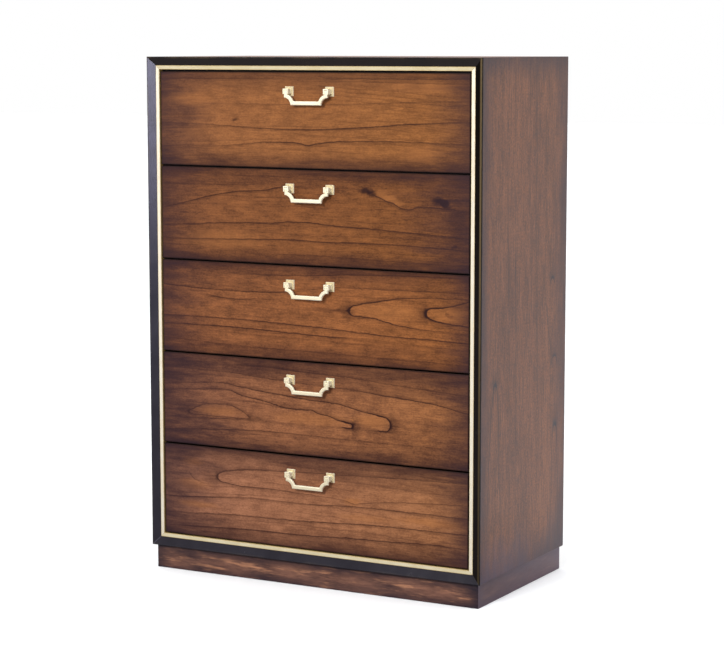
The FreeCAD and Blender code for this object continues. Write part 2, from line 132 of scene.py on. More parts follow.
class Graph:
    """A node tree, with short calls for the nodes used here and its own x, y and z."""

    def __init__(self, owner, place):
        owner.use_nodes = True
        self.tree = owner.node_tree
        self.tree.nodes.clear()
        self.place = self.node("ShaderNodeTexCoord").outputs[place]
        self.x, self.y, self.z = self.split(self.place)

    def node(self, kind, **settings):
        made = self.tree.nodes.new(kind)
        for key, value in settings.items():
            setattr(made, key, value)
        return made

    def feed(self, socket, value):
        if isinstance(value, bpy.types.NodeSocket):
            self.tree.links.new(value, socket)
        elif value is not None:
            socket.default_value = value

    def fed(self, made, *values):
        """A node with its first inputs fed in order; returns its first output."""
        for socket, value in zip(made.inputs, values):
            self.feed(socket, value)
        return made.outputs[0]

    def split(self, vector):
        made = self.node("ShaderNodeSeparateXYZ")
        self.feed(made.inputs[0], vector)
        return made.outputs

    def math(self, operation, *values, clamp=False):
        return self.fed(self.node("ShaderNodeMath", operation=operation, use_clamp=clamp), *values)

    def minus(self, value, other):
        return self.math("SUBTRACT", value, other)

    def times(self, value, other):
        return self.math("MULTIPLY", value, other)

    def far(self, one, other):
        """The length of a vector given by its two parts."""
        return self.math("SQRT", self.math("MULTIPLY_ADD", one, one, self.times(other, other)))

    def inward(self, value, low, high):
        """How far a coordinate lies inside each end of a span."""
        return self.minus(value, low), self.minus(high, value)

    def shifted(self, value, level, reach):
        """A coordinate moved by up to half of reach either way, as a noise level says."""
        return self.math("MULTIPLY_ADD", level, reach, self.minus(value, reach / 2))

    def noise(self, stretch, offset=(0.0, 0.0, 0.0), detail=2.0, roughness=0.5, distortion=0.0):
        """Noise over the place, stretched by a factor along each axis and then moved."""
        made = self.node("ShaderNodeVectorMath", operation="MULTIPLY_ADD")
        return self.noise_at(
            self.fed(made, self.place, stretch, offset), detail, roughness, distortion
        )

    def noise_at(self, place, detail=2.0, roughness=0.5, distortion=0.0):
        made = self.node("ShaderNodeTexNoise")
        self.feed(made.inputs["Vector"], place)
        self.feed(made.inputs["Scale"], 1.0)
        self.feed(made.inputs["Detail"], detail)
        self.feed(made.inputs["Roughness"], roughness)
        self.feed(made.inputs["Distortion"], distortion)
        return made.outputs[0]

    def remap(self, value, low, high, to_low=0.0, to_high=1.0, smooth=True):
        kind = "SMOOTHSTEP" if smooth else "LINEAR"
        made = self.node("ShaderNodeMapRange", interpolation_type=kind)
        return self.fed(made, value, low, high, to_low, to_high)

    def weigh(self, *pairs):
        """One half, plus each (level, weight) pair's level counted from one half."""
        total = 0.5 - 0.5 * sum(weight for _, weight in pairs)
        for level, weight in pairs:
            total = self.math("MULTIPLY_ADD", level, weight, total)
        return total

    def facing(self, axis, low, high, to_low=0.0, to_high=1.0, normal="Normal"):
        """From to_low where the surface lies along an axis to to_high where it faces along it."""
        parts = self.split(self.node("ShaderNodeNewGeometry").outputs[normal])
        return self.remap(self.math("ABSOLUTE", parts[axis]), low, high, to_low, to_high)

    def ramp(self, value, stops):
        """A grey ramp through (position, level) stops."""
        made = self.node("ShaderNodeValToRGB")
        elements = made.color_ramp.elements
        while len(elements) < len(stops):
            elements.new(0.5)
        for element, (position, level) in zip(elements, stops):
            element.position = position
            element.color = (level, level, level, 1.0)
        return self.fed(made, value)

    def curve(self, value, points):
        """A smooth curve through points whose two parts run from 0 to 1."""
        made = self.node("ShaderNodeFloatCurve")
        self.feed(made.inputs["Value"], value)
        mapping = made.mapping
        mapping.extend = "HORIZONTAL"
        line = mapping.curves[0].points
        while len(line) < len(points):
            line.new(0.5, 0.5)
        for point, place in zip(line, points):
            point.location = place
            point.handle_type = "AUTO_CLAMPED"
        mapping.update()
        return made.outputs[0]

    def mix(self, share, one, other, blend="MIX"):
        made = self.node("ShaderNodeMix", data_type="RGBA", blend_type=blend)
        self.feed(made.inputs["Factor"], share)
        self.feed(made.inputs[6], one)
        self.feed(made.inputs[7], other)
        return made.outputs[2]


class Finish(Graph):
    """A material, whose place is the CAD frame of the piece at rest."""

    def __init__(self, name):
        self.material = bpy.data.materials.new(name)
        super().__init__(self.material, "Object")

    def done(self, colour, roughness, relief=None, depth=0.0, **plain):
        """Feeds the shader; depth is the relief's, and plain values are the same all over."""
        shader = self.node("ShaderNodeBsdfPrincipled")
        self.feed(shader.inputs["Base Color"], colour)
        self.feed(shader.inputs["Roughness"], roughness)
        if relief is not None:
            bump = self.node("ShaderNodeBump")
            self.feed(bump.inputs["Distance"], depth)
            self.feed(bump.inputs["Height"], relief)
            self.feed(shader.inputs["Normal"], bump.outputs[0])
        for name, value in plain.items():
            shader.inputs[name.replace("_", " ")].default_value = value
        output = self.node("ShaderNodeOutputMaterial")
        self.feed(output.inputs["Surface"], shader.outputs[0])
        return self.material


# ------------------------------------------------------------------ figure tables
# Growth lines: (side, points), where points are (along, across, strength) in
# millimetres and from 0 to 1, and side is 1 where the line shades off upwards and
# -1 where it shades off downwards.
DRAWER_LINES = {
    1: [
        (1, [
            (-430, 211, 0.6), (-200, 211, 0.5), (0, 211, 0.25), (150, 213, 0.7), (300, 213, 0.7),
            (430, 214, 0.6),
        ]),
        (1, [(-60, 206, 0.0), (100, 206, 0.35), (200, 205, 0.5), (350, 203, 0.5), (430, 202, 0.2)]),
        (-1, [
            (-370, 152, 0.0), (-200, 151, 0.35), (50, 152, 0.45), (150, 155, 0.45), (300, 161, 0.5),
            (430, 162, 0.3),
        ]),
        (-1, [
            (-430, 102, 0.3), (-300, 101, 0.5), (-200, 96, 0.7), (-50, 92, 0.9), (0, 92, 1.0),
            (100, 97, 1.0), (200, 104, 1.0), (250, 108, 1.0), (310, 111, 0.9), (370, 114, 0.6),
            (430, 116, 0.5),
        ]),
        (-1, [
            (-430, 40, 0.1), (-300, 46, 0.3), (-200, 53, 0.6), (-100, 61, 0.9), (-50, 61, 1.0),
            (-26, 58, 1.0), (-6, 55, 1.0), (20, 59, 1.0), (60, 64, 1.0), (100, 66, 0.9),
            (200, 68, 0.8), (430, 65, 0.5),
        ]),
        (-1, [(-90, 84, 0.0), (-50, 83, 0.3), (0, 79, 0.4), (100, 76, 0.35), (180, 78, 0.0)]),
    ],
    2: [
        (-1, [
            (-430, 124, 0.6), (-400, 129, 0.7), (-370, 137, 0.8), (-330, 146, 0.9),
            (-300, 154, 1.0), (-260, 162, 1.0), (-200, 171, 1.0), (-120, 177, 1.0), (-95, 182, 1.0),
            (-70, 186, 0.7), (0, 187, 0.2), (70, 187, 0.3), (130, 186, 0.5), (160, 181, 1.0),
            (172, 174, 1.0), (190, 167, 1.0), (210, 159, 1.0), (225, 155, 1.0), (245, 145, 1.0),
            (265, 142, 0.9), (290, 149, 0.9), (330, 149, 1.0), (370, 147, 1.1), (395, 146, 0.0),
        ]),
        (-1, [
            (-430, 82, 0.5), (-350, 87, 0.7), (-200, 95, 0.9), (-100, 98, 1.0), (-50, 102, 1.0),
            (0, 102, 1.0), (50, 98, 0.9), (150, 94, 0.9), (300, 87, 0.9), (430, 80, 0.7),
        ]),
        (-1, [
            (-430, 50, 0.3), (-350, 51, 0.6), (-200, 55, 0.8), (-50, 59, 1.0), (50, 57, 0.9),
            (120, 59, 1.0), (250, 58, 0.8), (350, 55, 0.9), (430, 52, 0.3),
        ]),
        (1, [(-430, 184, 0.2), (-350, 185, 0.5), (-200, 187, 0.4), (-100, 191, 0.0)]),
        (1, [(-100, 217, 0.0), (0, 216, 0.4), (60, 214, 0.5), (160, 212, 0.3), (300, 210, 0.0)]),
        (-1, [(-200, 22, 0.0), (0, 24, 0.5), (200, 20, 0.5), (430, 16, 0.4)]),
    ],
    3: [
        (1, [
            (-300, 203, 0.0), (-150, 202, 0.4), (0, 206, 0.7), (80, 212, 0.9), (150, 215, 0.8),
            (250, 218, 0.7), (430, 219, 0.5),
        ]),
        (1, [
            (-430, 167, 0.8), (-350, 162, 0.9), (-200, 159, 0.9), (-100, 161, 1.0), (-60, 164, 0.8),
            (-10, 170, 0.3), (60, 181, 0.5), (200, 183, 0.6), (300, 184, 0.7), (430, 185, 0.5),
        ]),
        (-1, [
            (-330, 147, 0.0), (-300, 146, 0.3), (-270, 143, 0.8), (-240, 140, 0.9),
            (-200, 139, 0.8), (-150, 143, 0.5), (-60, 143, 0.0),
        ]),
        (-1, [
            (-430, 88, 0.6), (-350, 90, 0.8), (-200, 90, 0.8), (-100, 87, 1.0), (0, 84, 1.0),
            (100, 79, 0.9), (200, 74, 1.0), (350, 71, 1.0), (430, 68, 0.9),
        ]),
        (-1, [
            (-430, 68, 0.8), (-350, 70, 0.9), (-250, 70, 1.0), (-150, 68, 1.0), (-50, 65, 1.0),
            (20, 63, 1.0), (100, 62, 0.7), (150, 61, 0.2), (300, 56, 0.3), (430, 52, 0.1),
        ]),
        (-1, [(-430, 34, 0.3), (-300, 29, 0.4), (-200, 24, 0.5), (0, 23, 0.5), (430, 17, 0.4)]),
        (-1, [(-330, 59, 0.0), (-250, 57, 0.3), (0, 52, 0.4), (150, 50, 0.3), (260, 48, 0.0)]),
        (1, [
            (10, 120, 0.0), (40, 121, 0.3), (70, 124, 0.4), (95, 127, 0.6), (108, 128, 0.4),
            (116, 128, 0.0),
        ]),
    ],
    4: [
        (1, [
            (-430, 192, 0.3), (-300, 189, 0.4), (-200, 186, 0.6), (-100, 179, 0.7), (0, 174, 0.5),
            (100, 170, 0.6), (200, 162, 1.0), (300, 154, 1.0), (350, 149, 1.0), (380, 143, 0.9),
            (430, 133, 0.7),
        ]),
        (1, [
            (-430, 147, 0.2), (-350, 154, 0.6), (-250, 160, 0.8), (-200, 154, 0.9),
            (-150, 148, 1.0), (-100, 144, 1.0), (0, 136, 1.0), (75, 132, 1.0), (120, 124, 1.0),
            (150, 118, 1.0), (180, 114, 1.0), (200, 110, 0.3), (206, 108, 0.0),
        ]),
        (1, [
            (-430, 131, 0.3), (-350, 137, 0.7), (-300, 141, 0.8), (-250, 144, 0.8),
            (-228, 143, 0.9), (-208, 137, 1.0), (-180, 130, 1.0), (-150, 127, 1.0),
            (-100, 117, 1.0), (-80, 113, 1.0), (-40, 111, 1.0), (0, 111, 1.0), (20, 105, 1.0),
            (55, 100, 1.0), (75, 93, 1.0), (100, 89, 0.8), (108, 86, 0.0),
        ]),
        (-1, [
            (-430, 66, 0.1), (-350, 67, 0.5), (-300, 69, 0.6), (-200, 73, 0.4), (-100, 74, 0.3),
            (430, 77, 0.2),
        ]),
        (-1, [
            (-430, 31, 0.3), (-350, 38, 0.6), (-300, 41, 0.8), (-200, 47, 0.8), (-100, 50, 0.7),
            (100, 48, 0.6), (430, 49, 0.3),
        ]),
        (1, [
            (-300, 203, 0.0), (-150, 208, 0.6), (0, 202, 0.8), (100, 199, 0.7), (200, 191, 0.6),
            (430, 176, 0.5),
        ]),
    ],
    5: [
        (1, [
            (-352, 162, 0.0), (-346, 152, 0.5), (-336, 144, 0.6), (-320, 138, 0.4),
            (-290, 134, 0.0),
        ]),
        (-1, [
            (-430, 94, 0.8), (-350, 97, 1.0), (-300, 101, 1.0), (-250, 105, 0.8), (-150, 111, 0.6),
            (-50, 110, 0.6), (100, 117, 0.8), (200, 119, 0.8), (430, 118, 0.7),
        ]),
        (-1, [
            (-430, 53, 0.4), (-350, 56, 0.6), (-250, 62, 0.8), (-150, 65, 0.8), (-50, 67, 0.9),
            (50, 71, 0.9), (150, 77, 0.9), (430, 80, 0.8),
        ]),
        (-1, [
            (-430, 19, 0.3), (-300, 25, 0.9), (-200, 30, 1.0), (0, 34, 0.9), (100, 39, 0.9),
            (200, 42, 0.9), (350, 47, 0.8), (430, 45, 0.5),
        ]),
        (-1, [(-150, 152, 0.0), (-110, 154, 0.3), (0, 150, 0.3), (100, 156, 0.2), (180, 160, 0.0)]),
    ],
}
# Tongues, the pointed or oval figures: (low end, high end, cap length, points), where
# points are (along, centre, half height, strength) and a cap closes each end.
DRAWER_TONGUES = {
    1: [],
    2: [],
    3: [
        (124, 900, 18, [
            (110, 128, 12, 1.2), (130, 129.5, 13.5, 1.1), (150, 131.5, 16.5, 1.1),
            (180, 132.7, 20, 1.1), (200, 132.5, 24.5, 1.1), (230, 132, 30, 1.0),
            (260, 131.5, 33.5, 0.9), (300, 131, 37, 0.8), (350, 131.5, 38.5, 0.5),
            (430, 131, 40, 0.3),
        ]),
        (326, 900, 15, [
            (318, 133, 12, 1.7), (345, 131, 16, 1.4), (370, 131.5, 19.5, 1.1),
            (400, 134.5, 24.5, 1.0), (430, 137.5, 31.5, 1.0),
        ]),
    ],
    4: [
        (-338, -186, 12, [
            (-352, 82, 6, 0.8), (-342, 82, 6, 0.8), (-328, 85, 9, 0.8), (-312, 88.5, 12.5, 0.7),
            (-295, 90.5, 14.5, 0.6), (-230, 91, 15, 0.7), (-210, 88, 12, 0.8), (-190, 84, 8, 0.8),
            (-178, 80, 5, 0.8), (-165, 79, 5, 0.8),
        ]),
        (-900, 202, 16, [
            (150, 97, 21, 0.0), (176, 95.5, 19, 0.4), (200, 93, 17, 1.2), (230, 92, 16, 1.4),
        ]),
        (-900, 106, 9, [
            (62, 90, 10, 0.0), (80, 85, 8, 0.3), (100, 82.5, 6.5, 1.2), (125, 82, 6.5, 1.4),
        ]),
    ],
    5: [
        (-250, 900, 18, [
            (-270, 155, 11, 1.0), (-245, 156, 14, 0.9), (-200, 158, 20, 0.9), (-150, 160, 22, 0.8),
            (-100, 161, 23, 0.7), (0, 162, 27, 0.6), (95, 161, 31, 0.5), (118, 159, 34.5, 0.6),
            (140, 161, 33, 0.6), (200, 166, 30, 0.6), (300, 171.5, 27.5, 0.6),
            (430, 175.5, 25.5, 0.4),
        ]),
    ],
}
# Spots are (along, across, half length, half height, strength); below zero is light.
DRAWER_SPOTS = {
    1: [
        (-210, 114, 9, 3.5, 0.8), (235, 188, 3, 7, 0.5), (310, 196, 90, 16, -0.7),
        (-330, 160, 60, 14, -0.6), (300, 40, 50, 20, -0.6),
    ],
    2: [
        (150, 184, 17, 7, 1.1), (168, 176, 12, 8, 0.9), (344, 164, 18, 9, 1.2),
        (362, 157, 11, 12, 1.1), (383, 61, 7, 5, 0.7), (190, 178, 16, 6, -0.5),
        (214, 167, 22, 8, -0.65), (238, 156, 18, 7, -0.55), (392, 118, 26, 36, 0.4),
        (-250, 52, 110, 22, -0.5),
    ],
    3: [
        (92, 126, 26, 8, 0.6), (40, 126, 44, 5, 0.5), (215, 132, 85, 20, -0.5),
        (378, 132, 46, 17, -0.65), (366, 133, 7, 6, 0.9), (376, 128, 6, 3, 0.8),
    ],
    4: [
        (-366, 84, 24, 8, 0.5), (-158, 77, 26, 7, 0.6), (-265, 90, 66, 13, -0.6),
        (126, 80, 14, 8, 0.6), (116, 97, 4, 4, -1.2), (228, 88, 14, 14, 0.5),
        (168, 98, 44, 16, -0.6), (0, 90, 100, 15, -0.5), (-60, 118, 60, 6, 0.3),
    ],
    5: [
        (-340, 186, 30, 10, -0.7), (116, 130, 24, 10, -0.7), (-340, 130, 50, 12, -0.6),
        (330, 100, 90, 9, -0.7), (-330, 80, 60, 8, -0.6), (150, 92, 70, 8, -0.4),
    ],
}
# Dark burnished border at the left, right, bottom and top: (width in millimetres, strength)
DRAWER_BURN = {
    1: ((190, 0.92), (135, 0.84), (60, 0.92), (76, 0.62)),
    2: ((175, 0.8), (235, 0.95), (46, 0.95), (66, 0.8)),
    3: ((190, 0.88), (95, 0.86), (66, 0.86), (70, 0.84)),
    4: ((300, 0.97), (125, 0.82), (60, 0.97), (96, 0.94)),
    5: ((210, 0.92), (110, 0.9), (70, 0.95), (80, 0.92)),
}
# Lighter and darker tone of each drawer's ground
DRAWER_TONES = {
    1: ((157, 100, 56), (118, 73, 41)),
    2: ((141, 87, 48), (95, 57, 33)),
    3: ((157, 97, 56), (104, 63, 37)),
    4: ((162, 105, 68), (109, 68, 46)),
    5: ((170, 114, 80), (124, 80, 56)),
}
# The right side's figure, which the left side carries turned over and the top moved along
SIDE_LINES = [
    (1, [
        (560, 160, 0.0), (580, 157, 1.0), (592, 150, 1.0), (620, 142, 0.9), (660, 134, 0.7),
        (720, 120, 0.6), (780, 107, 0.4), (860, 98, 0.2), (950, 92, 0.0),
    ]),
    (1, [
        (60, 2, 0.2), (200, 4, 0.3), (290, -9, 0.4), (420, -6, 0.2), (490, -3, 0.7), (560, -6, 0.2),
        (760, 2, 0.1),
    ]),
    (1, [
        (60, -46, 0.2), (300, -42, 0.4), (420, -43, 0.6), (560, -44, 0.6), (700, -48, 0.7),
        (850, -50, 0.6), (1000, -56, 0.3), (1170, -58, 0.5), (1270, -58, 0.3),
    ]),
    (-1, [
        (560, -76, 0.3), (640, -78, 0.4), (700, -84, 0.8), (800, -87, 0.9), (880, -90, 0.5),
        (1000, -90, 0.1),
    ]),
    (1, [
        (60, 96, 0.2), (260, 93, 0.3), (420, 88, 0.5), (520, 80, 0.7), (650, 76, 0.6),
        (760, 72, 0.6), (860, 66, 0.7), (960, 64, 0.8), (1060, 66, 0.7), (1170, 60, 0.8),
        (1270, 61, 0.3),
    ]),
    (-1, [
        (800, 28, 0.0), (900, 30, 0.2), (960, 30, 0.7), (1040, 28, 0.4), (1150, 26, 0.6),
        (1250, 24, 0.3),
    ]),
    (1, [(660, 45, 0.0), (690, 44, 0.7), (780, 38, 0.4), (850, 34, 0.2), (900, 32, 0.0)]),
    (-1, [(870, 178, 0.0), (900, 178, 0.6), (1110, 170, 0.3), (1220, 176, 0.4), (1270, 184, 0.1)]),
]
SIDE_TONGUES = [
    (-900, 498, 22, [
        (60, -160, 42, 0.2), (150, -157, 38, 0.5), (240, -158, 34, 0.6), (300, -162, 27.5, 0.8),
        (400, -159.5, 22.5, 0.9), (460, -157.5, 17.5, 1.0), (490, -156, 12, 1.2),
        (520, -156, 11, 1.4),
    ]),
    (-900, 352, 26, [
        (60, 190, 24, 0.3), (150, 189, 21, 0.5), (230, 190, 18, 0.8), (300, 187.5, 15.5, 0.8),
        (350, 187.5, 13, 1.2), (385, 188, 12, 1.4),
    ]),
    (-900, 732, 12, [
        (700, 166, 9, 0.0), (722, 166, 9, 0.0), (734, 166, 9, 1.3), (760, 166, 9, 1.3),
    ]),
    (-900, 536, 14, [
        (500, 182, 15, 0.0), (524, 182, 15, 0.1), (538, 181, 14, 1.2), (570, 181, 13, 1.2),
    ]),
]
SIDE_SPOTS = [(512, -156, 14, 9, 0.5), (284, -9, 12, 3, 0.7), (368, 188, 14, 8, 0.5)]
SIDE_SPAN = (60 * MM, 1280 * MM)
SIDE_REACH = (-250 * MM, 250 * MM)
LEFT_FIGURE_SHIFT = 8 * MM
TOP_FIGURE_SHIFT = 700 * MM
# A line's shade from its sharp side to its soft side, over PROFILE_REACH
LINE_PROFILE = [
    (0.0, 0.0), (0.4, 0.0), (0.455, 0.55), (0.485, 1.0), (0.515, 1.0), (0.56, 0.6), (0.64, 0.3),
    (0.8, 0.12), (1.0, 0.0),
]
PROFILE_REACH = 21 * MM
# A ring's shade over RING_SPACING
RING_PROFILE = [(0.0, 0.3), (0.03, 1.0), (0.12, 0.5), (0.3, 0.16), (0.6, 0.0), (1.0, 0.0)]
RING_SPACING = 11 * MM
LINE_TONE = srgb(46, 24, 20)
BURN_TONE = srgb(44, 24, 26)
CORNER_TONE = srgb(46, 31, 38)
# Painted light: a violet haze at a drawer's left end and an orange warmth at its right
LEFT_PAINTED_HAZE = (0.97, 0.98, 1.12, 1.0)
RIGHT_PAINTED_WARMTH = (1.0, 0.98, 0.80, 1.0)


# ------------------------------------------------------------------ wood
def growth_lines(g, along, across, span, reach, lines, tongues):
    """Dark lines along a board; span and reach are the (low, high) it covers, in metres."""
    length = span[1] - span[0]
    height = reach[1] - reach[0]
    position = g.remap(along, *span, smooth=False)
    level = g.remap(across, *reach, smooth=False)

    def curve(points, index, scale, offset=0.0):
        """One part of the points, as it changes along the board."""
        return g.curve(
            position,
            [((p[0] * MM - span[0]) / length, (p[index] - offset) * scale) for p in points],
        )

    def above(points):
        """Height above the line through the points, as a share of the board's."""
        return g.minus(level, curve(points, 1, MM / height, reach[0] / MM))

    def shade(gap, side):
        scale = side * height / PROFILE_REACH
        return g.ramp(g.math("MULTIPLY_ADD", gap, scale, 0.5), LINE_PROFILE)

    total = 0.0
    for side, points in lines:
        strength = curve(points, 2, 1.0)
        total = g.math("MULTIPLY_ADD", shade(above(points), side), strength, total)
    for low_end, high_end, cap, points in tongues:
        half = curve(points, 2, MM / height)
        up = g.math("DIVIDE", above(points), half)
        under = g.math("MULTIPLY_ADD", along, -1 / (cap * MM), low_end / cap)
        over = g.math("MULTIPLY_ADD", along, 1 / (cap * MM), -high_end / cap)
        beyond = g.math("MAXIMUM", g.math("MAXIMUM", under, over), 0.0)
        gap = g.times(g.minus(g.far(up, beyond), 1.0), half)
        gap = g.times(gap, g.remap(beyond, 0.3, 1.2, 1.0, 0.36))
        strength = g.times(curve(points, 3, 0.5), 2.0)
        total = g.math("MULTIPLY_ADD", shade(gap, 1), strength, total)
    return g.math("MULTIPLY", total, 0.9, clamp=True)


def growth_rings(g, along, across, seed):
    """Fine parallel rings, each sharp on one side, coming and going along the board."""
    bend = g.noise((1.7, 0.0, 6.0), (seed, 4.0, 0.0))
    place = g.math("MULTIPLY_ADD", bend, 7.0, g.times(across, 1 / RING_SPACING))
    waver = g.noise((18.0, 0.0, 60.0), (seed, 2.0, 0.0), detail=4.0, roughness=0.6)
    ring = g.math("FRACT", g.math("MULTIPLY_ADD", waver, 0.9, place))
    joined = g.node("ShaderNodeCombineXYZ")
    share = g.noise_at(g.fed(joined, g.times(along, 3.0), seed, g.math("FLOOR", place)))
    return g.times(g.ramp(ring, RING_PROFILE), g.remap(share, 0.42, 0.68))


def knots(g, along, across, spots):
    """Soft dark spots, and light ones where the strength is below zero."""
    dark = 0.0
    for a, c, half_length, half_height, strength in spots:
        one = g.math("MULTIPLY_ADD", along, 1 / (half_length * MM), -a / half_length)
        other = g.math("MULTIPLY_ADD", across, 1 / (half_height * MM), -c / half_height)
        dark = g.math("ADD", dark, g.remap(g.far(one, other), 0.35, 1.5, strength, 0.0))
    return dark


def darkened_edges(g, edges, wander):
    """How far the darkening along the edges reaches, from (distance to an edge, width, strength).
    """
    clear = 1.0
    for distance, width, strength in edges:
        inside = g.math("MULTIPLY_ADD", wander, width, distance)
        clear = g.times(clear, g.remap(inside, -0.35 * width, width, 1.0 - strength, 1.0))
    return g.minus(1.0, clear)


def drawer_face(number):
    """Walnut face with its own figure and a painted haze, violet to the left and orange to the
    right; burnished dark round the edges, with painted shade on its edge faces and just inside them
    for the gaps; plain at the back.
    """
    g = Finish(f"drawer_{number}_face")
    low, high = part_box(f"drawer_{number}_front")
    height = high.z - low.z
    seed = number * 3.7
    along = g.x
    across = g.minus(g.z, low.z)
    waver = g.noise((40.0, 0.0, 80.0), (seed, 0.0, seed), detail=5.0, roughness=0.65)
    waved = g.shifted(across, waver, 6 * MM)
    figure = DRAWER_LINES[number], DRAWER_TONGUES[number]
    lines = growth_lines(g, along, waved, (low.x, high.x), (0.0, height), *figure)
    rings = growth_rings(g, along, across, seed)
    cloud = g.noise((2.2, 0.0, 6.0), (seed, 0.0, 2.0))
    mottle = g.noise((21.0, 0.0, 46.0), (seed, 0.0, 5.0), detail=7.0, roughness=0.72)
    fibre = g.noise((30.0, 0.0, 400.0), (0.0, seed, 0.0), detail=4.0, roughness=0.65)
    fleck = g.noise((170.0, 0.0, 300.0), (seed, 0.0, 1.0), detail=3.0, roughness=0.7)
    light, dark = DRAWER_TONES[number]
    tone = g.weigh((cloud, 0.9), (mottle, 2.6), (fibre, 1.5), (fleck, 1.7))
    ground = g.mix(tone, srgb(*dark), srgb(*light))
    # Painted haze and warmth: violet towards the left end, orange towards the right
    tint = g.mix(g.remap(along, low.x, high.x, smooth=False), LEFT_PAINTED_HAZE, RIGHT_PAINTED_WARMTH)
    ground = g.mix(1.0, ground, tint, "MULTIPLY")
    ground = g.mix(g.times(rings, 0.5), ground, LINE_TONE)

    blur = g.noise((60.0, 0.0, 60.0), (seed, 0.0, 0.0), detail=3.0)
    askew = g.noise((60.0, 5.0, 60.0), (0.0, 0.0, seed), detail=3.0)
    blurred = g.shifted(along, blur, 24 * MM), g.shifted(across, askew, 14 * MM)
    marks = knots(g, *blurred, DRAWER_SPOTS[number])
    ground = g.mix(g.math("MULTIPLY", marks, -0.55, clamp=True), ground, srgb(182, 116, 64))
    marked = g.math("MAXIMUM", lines, g.times(marks, 0.85), clamp=True)
    ground = g.mix(marked, ground, LINE_TONE)

    left, right, bottom, top = ((width * MM, share) for width, share in DRAWER_BURN[number])
    ragged = g.noise((5.0, 0.0, 34.0), (0.0, 0.0, seed), detail=6.0, roughness=0.68)
    wander = g.math("MULTIPLY_ADD", ragged, 1.3, -0.65)
    from_left, from_right = g.inward(along, low.x, high.x)
    from_top = g.minus(height, across)
    rows = darkened_edges(g, [(across, *bottom), (from_top, *top)], wander)
    ends = darkened_edges(g, [(from_left, *left), (from_right, *right)], wander)
    ground = g.mix(ends, g.mix(rows, ground, BURN_TONE), CORNER_TONE)
    # Painted shade: a near-black band within 4 mm of the face's edges, deepening the gaps between
    # drawers
    nearest_row = g.math("MINIMUM", across, from_top)
    nearest = g.math("MINIMUM", nearest_row, g.math("MINIMUM", from_left, from_right))
    ground = g.mix(g.remap(nearest, 0.5 * MM, 4.0 * MM, 0.6, 0.0), ground, srgb(22, 14, 12))

    behind = g.remap(g.y, high.y - 0.6 * MM, high.y - 0.2 * MM)
    raw = g.mix(fibre, srgb(140, 104, 72), srgb(176, 138, 98))
    # The front's edge faces: a dark stain made near black as painted shade for the gaps between
    # drawers
    edge = g.mix(fibre, srgb(14, 9, 8), srgb(34, 22, 17))
    ground = g.mix(g.facing(Y, 0.5, 0.8), edge, g.mix(behind, ground, raw))
    rough = g.remap(fibre, 0.3, 0.75, 0.36, 0.48)
    relief = g.math("MULTIPLY_ADD", lines, -0.5, fibre)
    return g.done(ground, rough, relief, 0.05 * MM, Specular_IOR_Level=0.1)


def plain_wood(name, wood, grain, roughness=0.55, gloss=0.3, seed=0.0, crossed=None, gap_shaded=None):
    """Solid wood whose grain runs along one axis, with end grain on its ends.

    crossed is (mask, axis) for where another piece of the same node runs the other
    way. gap_shaded is the node whose front edge gets painted shade, near black, for the gaps
    between drawers.
    """
    g = Finish(name)
    light, dark = wood

    def pattern(axis):
        coarse = stretch_along(axis, 2.4, 42.0)
        rings = g.noise(coarse, (seed, seed, 0.0), detail=4.0, roughness=0.6, distortion=0.4)
        return rings, g.noise(stretch_along(axis, 26.0, 620.0), (0.0, seed, seed))

    rings, fibre = pattern(grain)
    if crossed:
        mask, axis = crossed
        other_rings, other_fibre = pattern(axis)
        share = mask(g)
        rings = g.mix(share, rings, other_rings)
        fibre = g.mix(share, fibre, other_fibre)
    colour = g.mix(g.remap(rings, 0.34, 0.66), srgb(*dark), srgb(*light))
    colour = g.mix(g.remap(fibre, 0.4, 0.75, 0.0, 0.3), colour, dimmed(dark, 0.62))
    if gap_shaded:
        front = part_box(gap_shaded)[0].y
        # Painted shade: the front edge near black, as seen through the gaps between drawers
        gap_shade = g.remap(g.y, front + 0.5 * MM, front + 1.5 * MM, 1.0, 0.0)
        colour = g.mix(gap_shade, colour, srgb(26, 17, 13))
    rough = g.remap(fibre, 0.3, 0.7, roughness - 0.06, roughness + 0.08)
    return g.done(colour, rough, fibre, 0.06 * MM, Specular_IOR_Level=gloss)


def rails_mask(g):
    """1 in the front and back rails, 0 in the runners between them."""
    low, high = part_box("web_frames")
    front = g.remap(g.y, low.y + FRONT_RAIL - 0.5 * MM, low.y + FRONT_RAIL, 1.0, 0.0)
    back = g.remap(g.y, high.y - BACK_RAIL, high.y - BACK_RAIL + 0.5 * MM)
    return g.math("MAXIMUM", front, back)


def nail_heads(g, node):
    """Distance to the nearest of the nail heads in line round a board that faces along Y."""
    low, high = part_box(node)
    up = g.minus(g.z, (low.z + high.z) / 2)
    from_side = g.minus((high.x - low.x) / 2 - NAIL_INSET, g.math("ABSOLUTE", g.x))
    from_end = g.minus((high.z - low.z) / 2 - NAIL_INSET, g.math("ABSOLUTE", up))
    near = [
        g.far(off_line, g.math("PINGPONG", run, NAIL_PITCH / 2))
        for off_line, run in ((from_side, up), (from_end, g.x))
    ]
    return g.math("MINIMUM", *near)


